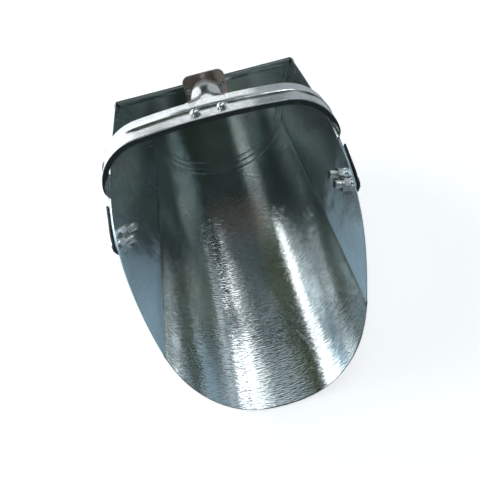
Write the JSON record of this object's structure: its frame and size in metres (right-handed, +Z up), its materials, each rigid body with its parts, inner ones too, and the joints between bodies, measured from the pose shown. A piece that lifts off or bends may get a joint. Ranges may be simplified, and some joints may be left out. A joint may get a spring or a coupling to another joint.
{
  "type": "feed scoop",
  "caption": "Flared round-bottomed galvanised sheet scoop with a flat back plate, a bow strap bolted over the mouth and a half-round grip from the bow to the back.",
  "frame": {"origin": "under the middle of the scoop, on the surface its flat underside strip rests on", "axes": "+X to the scoop's right seen from behind the grip, lip towards -Y, back plate towards +Y, +Z up"},
  "size_m": [0.2024, 0.311, 0.1667],
  "materials": {
    "galvanised_sheet": "galvanised, scratched",
    "strap_steel": "bright zinc, satin",
    "bright_zinc": "zinc plated",
    "black_rubber": "matt"
  },
  "bodies": {
    "root": {"scoop_shell": "galvanised_sheet", "back_plate": "galvanised_sheet", "bow_strap": "strap_steel", "grip": "strap_steel", "rear_bracket": "strap_steel", "grip_front_rivets": "bright_zinc", "grip_rear_rivets": "bright_zinc", "foot_pad_right": "black_rubber", "foot_pad_left": "black_rubber", "side_bolts_right": "bright_zinc", "side_bolts_left": "bright_zinc", "head_washers_right": "bright_zinc", "head_washers_left": "bright_zinc", "flat_washers_right": "bright_zinc", "flat_washers_left": "bright_zinc", "lock_washers_right": "bright_zinc", "lock_washers_left": "bright_zinc", "side_nuts_right": "bright_zinc", "side_nuts_left": "bright_zinc"}
  },
  "joints": []
}
